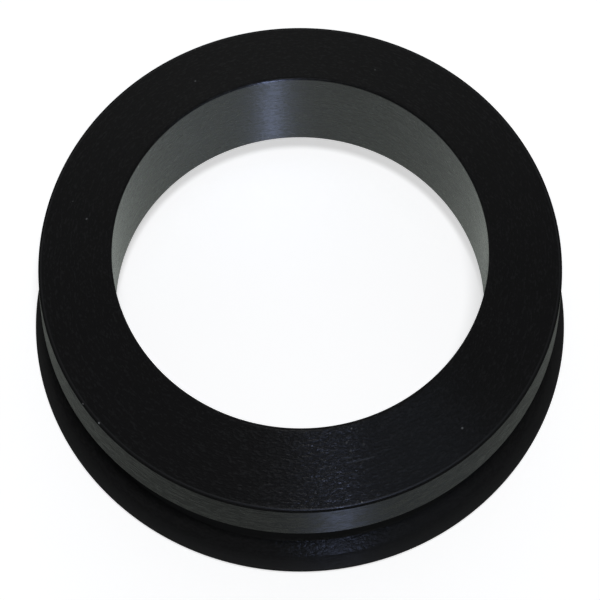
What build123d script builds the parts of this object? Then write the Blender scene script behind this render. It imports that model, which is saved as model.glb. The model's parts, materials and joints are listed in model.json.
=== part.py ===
from build123d import *

import math
import os

# An axial lip seal for a rotating shaft: one solid ring turned from black nitrile rubber.
#
# The ring is stretched over the shaft and turns with it. Its bore grips the shaft, its conical
# heel backs against a shoulder, and its thin lip leans forward and wipes a flat counterface.
# Between the body and the lip runs a V groove, and the rubber left under the groove's root is
# the hinge that the lip bends on.
#
# The ring lies on its lip with the heel up. Sizes are in millimetres for the free, unstretched
# ring. +Z runs along the bore from the lip to the heel, and the origin is on the axis in the
# plane of the lip's sealing edge.

# Body
bore_diameter = 20.0  # grips shafts of 21 to 24 mm once stretched
body_height = 4.0  # radial height of the section, from the bore to the outer band
body_width = 7.9  # along the bore, from the heel to the front corner
heel_drop = 2.1  # how far the heel's cone falls from the bore to the band
band_width = 3.25  # straight outer band, from the heel's edge to the groove's mouth

# Groove between the body and the lip
groove_wall_angle = 35.0  # the body's side of the groove, from square to the axis
groove_root_radius = 0.45
hinge_thickness = 1.25  # rubber between the bore and the groove's root

# Lip
free_width = 10.5  # from the heel to the sealing edge, with the lip relaxed
lip_diameter = 28.95  # over the back corner of the lip's end, before its bevel
lip_end_thickness = 0.45  # the lip's squared end
lip_end_angle = 30.0  # lean of that end towards the axis
lip_back_angle = 32.0  # slope of the lip's back where it leaves the groove's root
sealing_land = 0.12  # width of the flat on the sealing edge

# Corners
bore_bevel = 0.11
heel_edge_bevel = 0.13
groove_mouth_round = 0.1
front_corner_round = 0.1
lip_corner_bevel = 0.06

bore_radius = bore_diameter / 2
band_radius = bore_radius + body_height
lip_radius = lip_diameter / 2

heel_z = free_width
band_top_z = heel_z - heel_drop
groove_mouth_z = band_top_z - band_width
front_corner_z = heel_z - body_width

# The corners of the section, each as (distance from the axis, height above the sealing edge).
heel_corner = (bore_radius, heel_z)
heel_edge = (band_radius, band_top_z)
groove_mouth = (band_radius, groove_mouth_z)
front_corner = (bore_radius, front_corner_z)

end_lean = lip_end_thickness * math.sin(math.radians(lip_end_angle))
end_rise = lip_end_thickness * math.cos(math.radians(lip_end_angle))
lip_back_corner = (lip_radius, end_rise)
sealing_edge = (lip_radius - end_lean, 0)
land_inner_edge = (lip_radius - end_lean - sealing_land, 0)


def groove_root():
    """The arc at the groove's root, from the body's wall round to the lip's back."""
    wall = math.radians(groove_wall_angle)
    centre_radius = bore_radius + hinge_thickness + groove_root_radius
    wall_z = groove_mouth_z - (band_radius - centre_radius) * math.tan(wall)
    centre_z = wall_z - groove_root_radius / math.cos(wall)
    return CenterArc(
        (centre_radius, centre_z),
        groove_root_radius,
        90 + groove_wall_angle,
        180 - groove_wall_angle - lip_back_angle,
    )


def ring_section():
    """The section that is turned about the axis, with its working corners broken."""
    root = groove_root()
    groove_wall = Line(groove_mouth, root @ 0)
    lip_back = TangentArc(root @ 1, lip_back_corner, tangent=root % 1)
    lip_end = Line(lip_back_corner, sealing_edge)
    front = Polyline(sealing_edge, land_inner_edge, front_corner)
    body = Polyline(front_corner, heel_corner, heel_edge, groove_mouth)
    section = make_face(groove_wall + root + lip_back + lip_end + front + body)

    section = break_corner(chamfer, section, heel_corner, bore_bevel)
    section = break_corner(chamfer, section, heel_edge, heel_edge_bevel)
    section = break_corner(fillet, section, groove_mouth, groove_mouth_round)
    section = break_corner(fillet, section, front_corner, front_corner_round)
    return break_corner(chamfer, section, lip_back_corner, lip_corner_bevel)


def break_corner(operation, section, corner, size):
    """Chamfer or fillet the one corner of the section that lies at the given point."""
    vertex = section.vertices().sort_by_distance(corner)[0]
    return operation(vertex, size)


def seal_ring():
    """The whole ring: its section turned once about the shaft's axis."""
    return revolve(Plane.XZ * ring_section(), Axis.Z)


os.makedirs("parts", exist_ok=True)
export_step(seal_ring(), "parts/seal_ring.step")
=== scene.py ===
import json
import math

import bpy
from mathutils import Matrix, Vector


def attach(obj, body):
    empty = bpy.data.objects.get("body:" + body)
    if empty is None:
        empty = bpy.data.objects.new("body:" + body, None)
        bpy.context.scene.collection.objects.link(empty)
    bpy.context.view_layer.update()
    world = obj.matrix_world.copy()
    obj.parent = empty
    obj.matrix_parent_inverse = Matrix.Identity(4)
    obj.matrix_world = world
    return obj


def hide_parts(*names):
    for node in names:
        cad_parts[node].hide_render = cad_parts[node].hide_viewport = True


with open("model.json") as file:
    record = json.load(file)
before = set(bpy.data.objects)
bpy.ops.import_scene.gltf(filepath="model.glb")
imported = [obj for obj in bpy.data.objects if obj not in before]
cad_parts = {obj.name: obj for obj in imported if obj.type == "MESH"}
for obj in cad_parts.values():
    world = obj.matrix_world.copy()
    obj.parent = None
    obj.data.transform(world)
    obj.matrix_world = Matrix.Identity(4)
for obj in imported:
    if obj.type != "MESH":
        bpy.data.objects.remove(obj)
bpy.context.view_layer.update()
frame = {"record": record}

# A rubber shaft seal that is turned on a lathe: one ring with a conical heel, a plain outer band,
# a V groove and a lip that leans forward. Its section is carried round the axis here, with a
# finish of its own on each face. Lengths are in metres and angles in degrees. Headings run round
# the axis from the front, which is 0, and are positive to the right.

MM = 0.001
MICRON = 0.000001

# ---------------------------------------------------------------- sizes of the ring

bore_mount = next(m for m in frame["record"]["mounts"] if m["name"] == "shaft_bore")

bore_radius = bore_mount["dims"]["r_mm"] * MM
body_height = 4.0 * MM
body_width = 7.9 * MM
heel_drop = 2.1 * MM
band_width = 3.25 * MM
free_width = 10.5 * MM

groove_wall_angle = 35.0
groove_root_radius = 0.45 * MM
hinge_thickness = 1.25 * MM

lip_radius = 14.475 * MM
lip_end_thickness = 0.45 * MM
lip_end_angle = 30.0
lip_back_angle = 32.0
sealing_land = 0.12 * MM

# Radii on the lip's back: the groove's finish ends at the first, and the grainy finish of the
# part that bends ends at the second.
groove_reach = 13.10 * MM
hinge_reach = 13.75 * MM

band_radius = bore_radius + body_height
band_top = free_width - heel_drop
groove_mouth = band_top - band_width
front_corner = free_width - body_width

band_crown = 0.02 * MM  # the band leans in by this much at its top

# The corners are broken by the tool, and those of the lip are left nearly sharp.
bore_bevel = 0.11 * MM
heel_edge_bevel = 0.06 * MM
mouth_round = 0.1 * MM
front_round = 0.1 * MM
lip_bevel = 0.06 * MM
back_end_gap = 2 * lip_bevel  # the lip's back stops this far short of its corner

# The burr that the tool raises just inside the heel's outer edge.
burr_inset = 0.12 * MM
burr_width = 0.1 * MM
burr_height = 9 * MICRON

# How finely the section is drawn, and how many times it is set round the axis.
point_spacing = 0.12 * MM
burr_spacing = 0.015 * MM
bevel_steps = 2
round_steps = 4
root_steps = 12
back_steps = 30
turning_steps = 256


# ---------------------------------------------------------------- the ring's section

def towards(start, end, distance):
    """The point at a distance from start on the way to end."""
    share = distance / math.dist(start, end)
    return tuple(a + (b - a) * share for a, b in zip(start, end))


def straight(start, end, spacing=point_spacing):
    """Evenly spaced points from start up to, but not including, end."""
    count = max(1, round(math.dist(start, end) / spacing))
    return [towards(start, end, math.dist(start, end) * i / count) for i in range(count)]


def arc(centre, radius, first, last, count):
    """Points round an arc between two angles, without the last one."""
    points = []
    for i in range(count):
        angle = math.radians(first + (last - first) * i / count)
        points.append((centre[0] + radius * math.cos(angle), centre[1] + radius * math.sin(angle)))
    return points


def bevelled(before, corner, after, size):
    """A flat bevel across a corner, up to but not including its end on the second face."""
    first = towards(corner, before, size)
    last = towards(corner, after, size)
    return straight(first, last, math.dist(first, last) / bevel_steps)


def rounded(before, corner, after, size):
    """A corner turned off with a curve that is tangent to both of its faces."""
    first = towards(corner, before, size)
    last = towards(corner, after, size)
    points = []
    for i in range(round_steps):
        t = i / round_steps
        weights = ((1 - t) ** 2, 2 * t * (1 - t), t**2)
        points.append(
            tuple(sum(w * p for w, p in zip(weights, axis)) for axis in zip(first, corner, last))
        )
    return points


def groove_root_arc():
    """The arc at the groove's root: its centre, and its angles at the wall and at the lip."""
    wall = math.radians(groove_wall_angle)
    centre_radius = bore_radius + hinge_thickness + groove_root_radius
    wall_height = groove_mouth - (band_radius - centre_radius) * math.tan(wall)
    centre = (centre_radius, wall_height - groove_root_radius / math.cos(wall))
    return centre, 90 + groove_wall_angle, 270 - lip_back_angle


def tangent_curve(start, direction, end, count):
    """Points on the arc that leaves start in a direction and ends at end, without the last one."""
    chord = (end[0] - start[0], end[1] - start[1])
    across = (-direction[1], direction[0])
    lean = chord[0] * across[0] + chord[1] * across[1]
    radius = (chord[0] ** 2 + chord[1] ** 2) / (2 * lean)
    centre = (start[0] + across[0] * radius, start[1] + across[1] * radius)
    first = math.degrees(math.atan2(start[1] - centre[1], start[0] - centre[0]))
    last = math.degrees(math.atan2(end[1] - centre[1], end[0] - centre[0]))
    return arc(centre, math.dist(start, centre), first, last, count)


def heel_face(start, end):
    """The heel's cone in three stretches: its face, the burr that stands off it near its outer
    edge, and the narrow strip between the burr and that edge, which carries painted shade: a darker
    black."""
    length = math.dist(start, end)
    outward = ((start[1] - end[1]) / length, (end[0] - start[0]) / length)
    crest = length - burr_inset
    burr_start = towards(start, end, crest - burr_width / 2)
    burr_end = towards(start, end, crest + burr_width / 2)
    burr = []
    for point in straight(burr_start, burr_end, burr_spacing):
        place = (math.dist(start, point) - crest) / (burr_width / 2)
        lift = burr_height * (0.5 + 0.5 * math.cos(math.pi * place))
        burr.append((point[0] + outward[0] * lift, point[1] + outward[1] * lift))
    return [
        ("heel", straight(start, burr_start)),
        ("burr", burr),
        ("painted_burr_shade", straight(burr_end, end, burr_spacing)),
    ]


def band_face(start, end):
    """The band's face: its upper half bows in a little towards the heel."""
    points = []
    for r, z in straight(start, end):
        share = max(0.0, 1 - 2 * math.dist(start, (r, z)) / math.dist(start, end))
        points.append((r - band_crown * share**2, z))
    return points


def lip_back(root_centre, leave_angle, lip_corner):
    """The lip's hollow back, which leaves the groove's root smoothly and runs to its corner."""
    leave = math.radians(leave_angle)
    start = (
        root_centre[0] + groove_root_radius * math.cos(leave),
        root_centre[1] + groove_root_radius * math.sin(leave),
    )
    direction = (-math.sin(leave), math.cos(leave))
    curve = tangent_curve(start, direction, lip_corner, back_steps)
    return [point for point in curve if math.dist(point, lip_corner) > back_end_gap]


def turned_section():
    """The ring's section as stretches of (finish, points), in order round the section."""
    heel = (bore_radius, free_width)
    heel_edge = (band_radius, band_top)
    mouth = (band_radius, groove_mouth)
    front = (bore_radius, front_corner)
    end_lean = lip_end_thickness * math.sin(math.radians(lip_end_angle))
    end_rise = lip_end_thickness * math.cos(math.radians(lip_end_angle))
    lip_corner = (lip_radius, end_rise)
    sealing_edge = (lip_radius - end_lean, 0.0)
    land_end = (lip_radius - end_lean - sealing_land, 0.0)

    centre, at_wall, at_lip = groove_root_arc()
    root = arc(centre, groove_root_radius, at_wall, at_lip, root_steps)
    whole_back = lip_back(centre, at_lip, lip_corner)
    inner_back = [point for point in whole_back if point[0] < groove_reach]
    hinge = [point for point in whole_back if groove_reach <= point[0] < hinge_reach]
    back = [point for point in whole_back if point[0] >= hinge_reach]

    return [
        ("bore", straight(towards(front, heel, front_round), towards(heel, front, bore_bevel))),
        ("heel", bevelled(front, heel, heel_edge, bore_bevel)),
        *heel_face(towards(heel, heel_edge, bore_bevel),
                   towards(heel_edge, heel, heel_edge_bevel)),
        # Painted shade: the heel's edge bevel takes the same darker finish as the strip beside the
        # burr.
        ("painted_burr_shade", bevelled(heel, heel_edge, mouth, heel_edge_bevel)),
        ("band", band_face(towards(heel_edge, mouth, heel_edge_bevel),
                           towards(mouth, heel_edge, mouth_round))),
        ("band", rounded(heel_edge, mouth, root[0], mouth_round)),
        ("groove", straight(towards(mouth, root[0], mouth_round), root[0])),
        ("groove", root + inner_back),
        ("hinge", hinge),
        ("lip", back),
        ("lip", bevelled(back[-1], lip_corner, sealing_edge, lip_bevel)),
        ("lip", straight(towards(lip_corner, sealing_edge, lip_bevel), sealing_edge)),
        ("lip", straight(sealing_edge, land_end)),
        ("lip", straight(land_end, towards(front, land_end, front_round))),
        ("lip", rounded(land_end, front, heel, front_round)),
    ]


def running_shares(points):
    """How far along the closed section each point lies, as a share of its whole length."""
    lengths = [math.dist(a, b) for a, b in zip(points, points[1:] + points[:1])]
    shares = [0.0]
    for length in lengths:
        shares.append(shares[-1] + length / sum(lengths))
    return shares


def turn_ring(slots):
    """The ring's mesh: the section carried round the axis, with the slot of each face's finish.

    Its map is the ring's surface, cut round the bore's lower edge and once across the ring, and
    laid flat."""
    points, face_slots = [], []
    for finish, stretch in turned_section():
        points += stretch
        face_slots += [slots.index(finish)] * len(stretch)
    count = len(points)
    shares = running_shares(points)
    vertices, faces, places = [], [], []
    for step in range(turning_steps):
        angle = 2 * math.pi * step / turning_steps
        c, s = math.cos(angle), math.sin(angle)
        vertices += [(r * c, r * s, z) for r, z in points]
        start, following = step * count, (step + 1) % turning_steps * count
        left, right = step / turning_steps, (step + 1) / turning_steps
        for i in range(count):
            j = (i + 1) % count
            faces.append((start + i, following + i, following + j, start + j))
            low, high = shares[i], shares[i + 1]
            places += [left, low, right, low, right, high, left, high]
    mesh = bpy.data.meshes.new("rubber_ring")
    mesh.from_pydata(vertices, [], faces)
    mesh.polygons.foreach_set("material_index", face_slots * turning_steps)
    mesh.polygons.foreach_set("use_smooth", [True] * len(faces))
    mesh.uv_layers.new(name="OFBake").data.foreach_set("uv", places)
    mesh.update()
    return mesh


# ---------------------------------------------------------------- shader nodes

def set_inputs(tree, node, inputs):
    """Wires each of a node's inputs to a socket, or sets it to a value."""
    for name, value in inputs.items():
        if isinstance(value, bpy.types.NodeSocket):
            tree.links.new(value, node.inputs[name])
        else:
            node.inputs[name].default_value = value


def add_node(tree, kind, inputs=None, **settings):
    """A new shader node with its inputs and settings."""
    node = tree.nodes.new("ShaderNode" + kind)
    for name, value in settings.items():
        setattr(node, name, value)
    set_inputs(tree, node, inputs or {})
    return node


def calculate(tree, operation, *values):
    """A Math node whose inputs are sockets or plain numbers; returns its output."""
    return add_node(tree, "Math", dict(enumerate(values)), operation=operation).outputs[0]


def fade(tree, value, full, gone):
    """1 up to full, falling to 0 at gone."""
    inputs = {"Value": value, "From Min": full, "From Max": gone, "To Min": 1.0, "To Max": 0.0}
    return add_node(tree, "MapRange", inputs).outputs["Result"]


def laid_over(tree, cover, under, over):
    """One colour over another, where cover goes from 0 to 1."""
    colours = {"Fac": cover, "Color1": under, "Color2": over}
    return add_node(tree, "MixRGB", colours).outputs["Color"]


def shader_group(name, inputs, outputs):
    """An empty node group with its sockets; returns the tree, its input node and output node."""
    tree = bpy.data.node_groups.new(name, "ShaderNodeTree")
    for label, value in inputs.items():
        socket = tree.interface.new_socket(label, in_out="INPUT", socket_type="NodeSocketFloat")
        socket.default_value = value
    for label in outputs:
        tree.interface.new_socket(label, in_out="OUTPUT", socket_type="NodeSocketFloat")
    return tree, tree.nodes.new("NodeGroupInput"), tree.nodes.new("NodeGroupOutput")


def use_group(tree, group, **values):
    """A use of a group in a tree, with its own values; returns its outputs."""
    return add_node(tree, "Group", values, node_tree=group).outputs


# ---------------------------------------------------------------- effects on the rubber

# Bits of dust that lie on the heel, each as (heading, radius, half its size, cover from 0 to 1).
dust_on_heel = [
    (42.2, 12.75 * MM, 0.075 * MM, 0.50),
    (15.3, 10.34 * MM, 0.055 * MM, 0.45),
    (13.8, 13.81 * MM, 0.060 * MM, 0.50),
    (-49.5, 13.90 * MM, 0.070 * MM, 0.60),
    (-55.2, 13.93 * MM, 0.055 * MM, 0.50),
    (-100.6, 11.59 * MM, 0.075 * MM, 0.35),
    (-150.9, 11.71 * MM, 0.065 * MM, 0.40),
    (160.0, 11.63 * MM, 0.050 * MM, 0.30),
    (-105.5, 12.63 * MM, 0.045 * MM, 0.25),
    (13.1, 10.93 * MM, 0.080 * MM, 0.14),
    (17.5, 11.20 * MM, 0.100 * MM, 0.08),
    (13.7, 11.35 * MM, 0.100 * MM, 0.10),
    (3.7, 13.06 * MM, 0.080 * MM, 0.10),
]

# Scratches round the heel, each as (middle heading, half its sweep, radius, half its width,
# strength from 0 to 1).
scratches_on_heel = [
    (15.7, 4.8, 11.90 * MM, 0.065 * MM, 0.55),
    (12.7, 1.6, 11.66 * MM, 0.065 * MM, 0.60),
    (7.4, 2.8, 11.90 * MM, 0.065 * MM, 0.55),
    (7.2, 2.4, 12.17 * MM, 0.060 * MM, 0.40),
    (9.0, 1.6, 11.18 * MM, 0.060 * MM, 0.45),
]

# A bit of dust and a scratch are whole in the middle, out to this share of the way to their ends.
whole_share = 0.3

mark_detail = 2.0  # of the noise that the turning marks are made of


def ring_place_group():
    """Where a point lies on the ring: its radius, its height, its heading, and that heading as
    the two sides of a unit triangle, which have no jump anywhere round the ring."""
    tree, _, made = shader_group(
        "place on the ring", {}, ["Radius", "Height", "Heading", "East", "South"]
    )
    place = add_node(tree, "TexCoord").outputs["Object"]
    x, y, z = add_node(tree, "SeparateXYZ", {0: place}).outputs
    south = calculate(tree, "MULTIPLY", y, -1.0)
    squares = calculate(tree, "MULTIPLY_ADD", x, x, calculate(tree, "MULTIPLY", y, y))
    radius = calculate(tree, "SQRT", squares)
    heading = calculate(tree, "DEGREES", calculate(tree, "ARCTAN2", x, south))
    set_inputs(tree, made, {
        "Radius": radius,
        "Height": z,
        "Heading": heading,
        "East": calculate(tree, "DIVIDE", x, radius),
        "South": calculate(tree, "DIVIDE", south, radius),
    })
    return tree


def turning_marks_group(ring_place):
    """Fine marks round the axis: long arcs and short flecks, mixed by Flecks, 0 to 1.

    Spacing is the distance from one mark to the next. Arcs and Breaks say how often the long
    marks and the flecks end on their way round."""
    usual = {"Spacing": 0.1 * MM, "Arcs": 4.0, "Breaks": 45.0, "Flecks": 0.5}
    tree, given, made = shader_group("turning marks", usual, ["Marks"])
    place = use_group(tree, ring_place)
    across = calculate(tree, "DIVIDE", place["Radius"], given.outputs["Spacing"])
    along = calculate(tree, "DIVIDE", place["Height"], given.outputs["Spacing"])
    sets = []
    for ends in ("Arcs", "Breaks"):
        east = calculate(tree, "MULTIPLY", place["East"], given.outputs[ends])
        south = calculate(tree, "MULTIPLY", place["South"], given.outputs[ends])
        where = add_node(tree, "CombineXYZ", {0: across, 1: along, 2: east}).outputs[0]
        inputs = {"Vector": where, "W": south, "Scale": 1.0, "Detail": mark_detail}
        noise = add_node(tree, "TexNoise", inputs, noise_dimensions="4D")
        sets.append(noise.outputs["Fac"])
    mix = add_node(tree, "Mix", {"Factor": given.outputs["Flecks"], "A": sets[0], "B": sets[1]})
    set_inputs(tree, made, {"Marks": mix.outputs["Result"]})
    return tree


def heel_height(radius):
    """The height of the heel's cone at a radius."""
    return free_width - heel_drop * (radius - bore_radius) / body_height


def dust_group():
    """A mask of the bits of dust on the heel, with their edges softened."""
    tree, _, made = shader_group("dust", {}, ["Mask"])
    place = add_node(tree, "TexCoord").outputs["Object"]
    mask = 0.0
    for heading, radius, size, cover in dust_on_heel:
        angle = math.radians(heading)
        centre = (radius * math.sin(angle), -radius * math.cos(angle), heel_height(radius))
        away = add_node(tree, "VectorMath", {0: place, 1: centre}, operation="DISTANCE")
        speck = fade(tree, away.outputs["Value"], size * whole_share, size)
        mask = calculate(tree, "MAXIMUM", mask, calculate(tree, "MULTIPLY", speck, cover))
    set_inputs(tree, made, {"Mask": mask})
    return tree


def scratches_group(ring_place):
    """A mask of the scratches round the heel, which fade out at their ends."""
    tree, _, made = shader_group("scratches", {}, ["Mask"])
    place = use_group(tree, ring_place)
    mask = 0.0
    for heading, sweep, radius, width, strength in scratches_on_heel:
        off_line = calculate(tree, "ABSOLUTE", calculate(tree, "SUBTRACT", place["Radius"], radius))
        off_middle = calculate(
            tree, "ABSOLUTE", calculate(tree, "SUBTRACT", place["Heading"], heading)
        )
        line = calculate(tree, "MULTIPLY", fade(tree, off_line, 0.0, width), strength)
        length = fade(tree, off_middle, sweep * whole_share, sweep)
        mask = calculate(tree, "MAXIMUM", mask, calculate(tree, "MULTIPLY", line, length))
    set_inputs(tree, made, {"Mask": mask})
    return tree


# ---------------------------------------------------------------- materials

deep_black = (0.0094, 0.0094, 0.0096, 1)
worn_black = (0.0158, 0.0160, 0.0165, 1)
dull_black = (0.0095, 0.0095, 0.0096, 1)
dull_grey = (0.0128, 0.0128, 0.0129, 1)
rim_grey = (0.021, 0.021, 0.021, 1)
# Painted light: the groove's grey stands in for the soft light that reaches its shadowed root.
painted_fill_grey = (0.031, 0.031, 0.031, 1)
scratch_grey = (0.045, 0.047, 0.053, 1)
dust_grey = (0.30, 0.31, 0.32, 1)

# The thin skin that the tool burnishes on the bore and the band.
skin_index = 1.20
skin_roughness = 0.15

lay_turn = 0.25  # a quarter turn: the marks draw a highlight out across themselves

# A scratch takes this share off the height of the marks that it crosses. It shows in full on
# marks above the second height here, and fades to its least share on those below the first.
scratch_depth = 0.25
scratch_heights = (0.38, 0.55)
scratch_least = 0.35

# Painted light: the groove's root and the lip's back beside it are painted paler, standing in for
# the soft light that fills the shade there. It is full out to the first radius and gone at the
# second.
painted_fill_full = 12.90 * MM
painted_fill_gone = 13.32 * MM
# The lip is paler towards its rim, full at its edge and gone at this radius.
rim_fade = 13.85 * MM


def scratches_on(tree, marks):
    """The mask of the scratches on a face, which show less where its marks are low."""
    lowest, full_height = scratch_heights
    heights = {
        "Value": marks, "From Min": lowest, "From Max": full_height, "To Min": scratch_least
    }
    shown = add_node(tree, "MapRange", heights).outputs["Result"]
    return calculate(tree, "MULTIPLY", use_group(tree, scratches)["Mask"], shown)


def relief(tree, marks, scratched, depth):
    """The marks as a bump of this depth, worn down a little where they are scratched."""
    worn_off = calculate(tree, "MULTIPLY", scratched, scratch_depth)
    height = calculate(tree, "SUBTRACT", marks, worn_off)
    return add_node(tree, "Bump", {"Height": height, "Distance": depth}).outputs["Normal"]


def rubber_colour(tree, finish, top, scratched):
    """The blacks of a finish, what greys them, and over these the scratches and the dust."""
    deep, worn = finish["blacks"]
    colour = laid_over(tree, top, deep, worn)
    if finish["greyed"]:
        grey, full, gone = finish["greyed"]
        radius = use_group(tree, ring_place)["Radius"]
        colour = laid_over(tree, fade(tree, radius, full, gone), colour, grey)
    colour = laid_over(tree, scratched, colour, scratch_grey)
    return laid_over(tree, use_group(tree, dust)["Mask"], colour, dust_grey)


def rubber(name, finish):
    """Black rubber with turning marks round it, as a finish describes them.

    The finish gives a black and a roughness for the hollows between the marks and for their tops.
    Marks below the first of its tops are all hollow, and those above the second are all top.
    Its lustre is the specular level, its lay is how far the marks draw out a highlight, and its
    skin is how much the burnished skin covers. If it is greyed, that gives a paler colour, the
    radius where it is full and the radius where it is gone. The rest is for the turning marks."""
    material = bpy.data.materials.new(name)
    material.use_nodes = True
    tree = material.node_tree
    marks = use_group(
        tree, turning_marks, Spacing=finish["spacing"],
        Arcs=finish["arcs"], Breaks=finish["breaks"], Flecks=finish["flecks"],
    )["Marks"]
    scratched = scratches_on(tree, marks)
    low, high = finish["tops"]
    between = {"Value": marks, "From Min": low, "From Max": high}
    top = add_node(tree, "MapRange", between).outputs["Result"]
    in_hollows, on_tops = finish["roughness"]
    grain = {"Value": top, "To Min": in_hollows, "To Max": on_tops}
    set_inputs(tree, tree.nodes["Principled BSDF"], {
        "Base Color": rubber_colour(tree, finish, top, scratched),
        "Roughness": add_node(tree, "MapRange", grain).outputs["Result"],
        "Normal": relief(tree, marks, scratched, finish["depth"]),
        "Specular IOR Level": finish["lustre"],
        "Anisotropic": finish["lay"],
        "Anisotropic Rotation": lay_turn,
        "Tangent": add_node(tree, "Tangent", direction_type="RADIAL", axis="Z").outputs["Tangent"],
        "Coat Weight": finish["skin"],
        "Coat IOR": skin_index,
        "Coat Roughness": skin_roughness,
    })
    return material


# ---------------------------------------------------------------- floor, light and camera

white = (1, 1, 1, 1)

floor_radius = 3.0
floor_sides = 96
floor_colour = (0.72, 0.72, 0.72, 1)  # as it looks
floor_bounce = (0.73, 0.78, 0.71, 1)  # as it lights the ring
floor_glow = 0.62
floor_roughness = 0.9
floor_gloss = 0.1

key_direction = Vector((0.030, -0.213, 0.975)).normalized()
key_strength = 1.4
key_angle = 8.0
key_colour = (0.96, 0.975, 1.0)

strip_direction = Vector((0.200, -0.889, 0.407)).normalized()
strip_strength = 11.0
strip_angle = 1.0
strip_colour = (0.50, 0.61, 1.0)

fill_direction = Vector((-0.25, 0.90, 0.30)).normalized()
fill_strength = 0.80
fill_angle = 40.0
fill_colour = (1.0, 1.0, 1.0)

front_direction = Vector((0.05, -0.80, 0.58)).normalized()
front_strength = 0.24
front_angle = 60.0
front_colour = (0.80, 0.86, 1.0)

window_direction = Vector((0.579, -0.644, 0.5)).normalized()
window_strength = 1.5
window_angle = 40.0
window_colour = (0.60, 0.75, 1.0)

# The room round the ring: dim, with a glow low at the back, and white where it is looked at.
overhead_strength = 0.07
back_direction = Vector((0.0, 0.97, 0.2)).normalized()
back_strength = 0.4
back_falloff = 2.0
backdrop_strength = 1.02

# The camera looks at the middle of the heel from this elevation and distance, and is then turned
# by its roll, drop and side. Its lens and sensor are in millimetres.
camera_elevation = 67.53
camera_roll = 0.28
camera_drop = 0.508
camera_side = -0.003
camera_distance = 293.6 * MM
camera_lens = 332.4
camera_sensor = 36
camera_nearest = 0.01
camera_furthest = 20


def paper_floor():
    """A wide, plain, pale floor. It glows to the camera alone, and gives the ring a light that is
    a little greener than it looks."""
    bpy.ops.mesh.primitive_circle_add(
        vertices=floor_sides, radius=floor_radius, fill_type="NGON"
    )
    floor = bpy.context.object
    floor.name = "floor"
    material = bpy.data.materials.new("pale paper")
    material.use_nodes = True
    tree = material.node_tree
    seen = add_node(tree, "LightPath").outputs["Is Camera Ray"]
    set_inputs(tree, tree.nodes["Principled BSDF"], {
        "Base Color": laid_over(tree, seen, floor_bounce, floor_colour),
        "Roughness": floor_roughness,
        "Specular IOR Level": floor_gloss,
        "Emission Color": white,
        "Emission Strength": calculate(tree, "MULTIPLY", seen, floor_glow),
    })
    floor.data.materials.append(material)


def sun(name, direction, strength, angle, colour, only=None, diffuse=True, glossy=True):
    """A soft lamp far away. With only, it lights that one thing. Without diffuse it makes
    highlights alone, and without glossy it makes none."""
    lamp = bpy.data.lights.new(name, "SUN")
    lamp.energy = strength
    lamp.angle = math.radians(angle)
    lamp.color = colour
    light = bpy.data.objects.new(name, lamp)
    light.rotation_mode = "QUATERNION"
    light.rotation_quaternion = direction.to_track_quat("Z", "Y")
    light.visible_diffuse = diffuse
    light.visible_glossy = glossy
    bpy.context.scene.collection.objects.link(light)
    if only:
        lit = bpy.data.collections.new("lit by " + name)
        lit.objects.link(only)
        light.light_linking.receiver_collection = lit


def light_the_room(ring):
    """A key overhead, a low narrow strip in front, a broad dim window to its right, and weak
    soft light from behind and from the front."""
    sun("key", key_direction, key_strength, key_angle, key_colour)
    sun("strip", strip_direction, strip_strength, strip_angle, strip_colour, only=ring,
        diffuse=False)
    sun("window", window_direction, window_strength, window_angle, window_colour, only=ring,
        diffuse=False)
    sun("fill", fill_direction, fill_strength, fill_angle, fill_colour, only=ring,
        glossy=False)
    sun("front", front_direction, front_strength, front_angle, front_colour, only=ring,
        glossy=False)


def set_surroundings():
    """The room's own dim light, with a glow low at the back. The camera sees it as white."""
    world = bpy.data.worlds.new("studio")
    bpy.context.scene.world = world
    world.use_nodes = True
    tree = world.node_tree
    place = add_node(tree, "TexCoord").outputs["Generated"]
    facing = add_node(tree, "VectorMath", {0: place, 1: back_direction}, operation="DOT_PRODUCT")
    ahead = calculate(tree, "MAXIMUM", facing.outputs["Value"], 0.0)
    glow = calculate(tree, "POWER", ahead, back_falloff)
    room = calculate(tree, "MULTIPLY_ADD", glow, back_strength, overhead_strength)
    seen = add_node(tree, "LightPath").outputs["Is Camera Ray"]
    extra = calculate(tree, "MULTIPLY", seen, calculate(tree, "SUBTRACT", backdrop_strength, room))
    strength = calculate(tree, "ADD", room, extra)
    set_inputs(tree, tree.nodes["Background"], {"Color": white, "Strength": strength})


def set_camera():
    """Looks down on the heel from the front, aimed a little in front of the heel's middle."""
    elevation = math.radians(camera_elevation)
    away = Vector((0, -math.cos(elevation), math.sin(elevation)))
    turn = (
        Matrix.Rotation(math.radians(90 - camera_elevation), 3, "X")
        @ Matrix.Rotation(math.radians(camera_roll), 3, "Z")
        @ Matrix.Rotation(math.radians(-camera_drop), 3, "X")
        @ Matrix.Rotation(math.radians(-camera_side), 3, "Y")
    )
    data = bpy.data.cameras.new("camera")
    data.lens = camera_lens
    data.sensor_width = camera_sensor
    data.clip_start = camera_nearest
    data.clip_end = camera_furthest
    camera = bpy.data.objects.new("camera", data)
    camera.rotation_euler = turn.to_euler()
    camera.location = Vector((0, 0, free_width)) + away * camera_distance
    bpy.context.scene.collection.objects.link(camera)
    bpy.context.scene.camera = camera


# ---------------------------------------------------------------- put together

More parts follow.
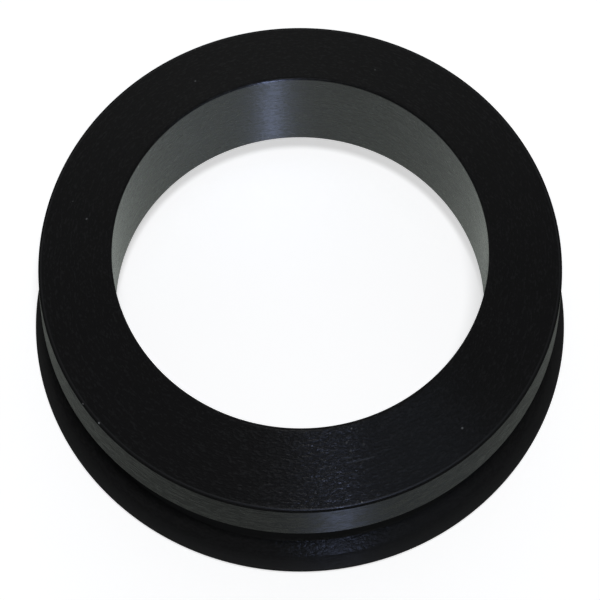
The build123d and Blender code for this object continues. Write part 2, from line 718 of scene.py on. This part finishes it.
ring_place = ring_place_group()
turning_marks = turning_marks_group(ring_place)
scratches = scratches_group(ring_place)
dust = dust_group()

# The three kinds of finish that the ring has, and what each of its faces is finished like.
turned = {
    "blacks": (deep_black, deep_black), "tops": (0.42, 0.60), "greyed": None,
    "lustre": 0.30, "roughness": (0.31, 0.24), "lay": 1.0, "skin": 0.83,
    "depth": 17 * MICRON, "spacing": 0.12 * MM, "arcs": 6.0, "breaks": 38.0, "flecks": 0.65,
}
cut = {
    "blacks": (deep_black, worn_black), "tops": (0.50, 0.72), "greyed": None,
    "lustre": 0.026, "roughness": (0.24, 0.37), "lay": 0.55, "skin": 0.0,
    "depth": 36 * MICRON, "spacing": 0.105 * MM, "arcs": 16.0, "breaks": 58.0, "flecks": 0.7,
}
moulded = {
    "blacks": (dull_black, dull_grey), "tops": (0.42, 0.60), "greyed": None,
    "lustre": 0.0025, "roughness": (0.48, 0.36), "lay": 0.55, "skin": 0.0,
    "depth": 15 * MICRON, "spacing": 0.10 * MM, "arcs": 12.0, "breaks": 60.0, "flecks": 0.7,
}
finishes = {
    "bore": turned,
    "heel": cut,
    # The burr is the paler worn black all over: a rubbed crest, with part of its bright highlight
    # line painted into that colour.
    "burr": dict(turned, blacks=(worn_black, worn_black), skin=0.0, lustre=0.042, lay=0.5,
                 roughness=(0.52, 0.32), depth=20 * MICRON, breaks=90.0),
    # Painted shade: the strip beside the burr and the heel's edge bevel keep the heel's deepest
    # black without its paler tops, and have no specular.
    "painted_burr_shade": dict(cut, blacks=(deep_black, dull_black), lustre=0.0),
    "band": dict(turned, skin=0.06, lustre=0.13, roughness=(0.34, 0.23), depth=24 * MICRON),
    # Painted light: the groove is paler in its shaded root, standing in for the light that fills
    # it.
    "groove": dict(moulded, greyed=(painted_fill_grey, painted_fill_full, painted_fill_gone), lustre=0.0),
    "hinge": dict(moulded, lustre=0.0057, roughness=(0.24, 0.36), depth=46 * MICRON,
                  spacing=0.12 * MM),
    "lip": dict(moulded, greyed=(rim_grey, lip_radius, rim_fade)),
}

ring = bpy.data.objects.new("rubber_ring", turn_ring(list(finishes)))
bpy.context.scene.collection.objects.link(ring)
for face, finish in finishes.items():
    ring.data.materials.append(rubber("rubber, " + face, finish))
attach(ring, "root")
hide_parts("seal_ring")

paper_floor()
light_the_room(ring)
set_surroundings()
set_camera()
bpy.context.scene.view_settings.view_transform = "Standard"
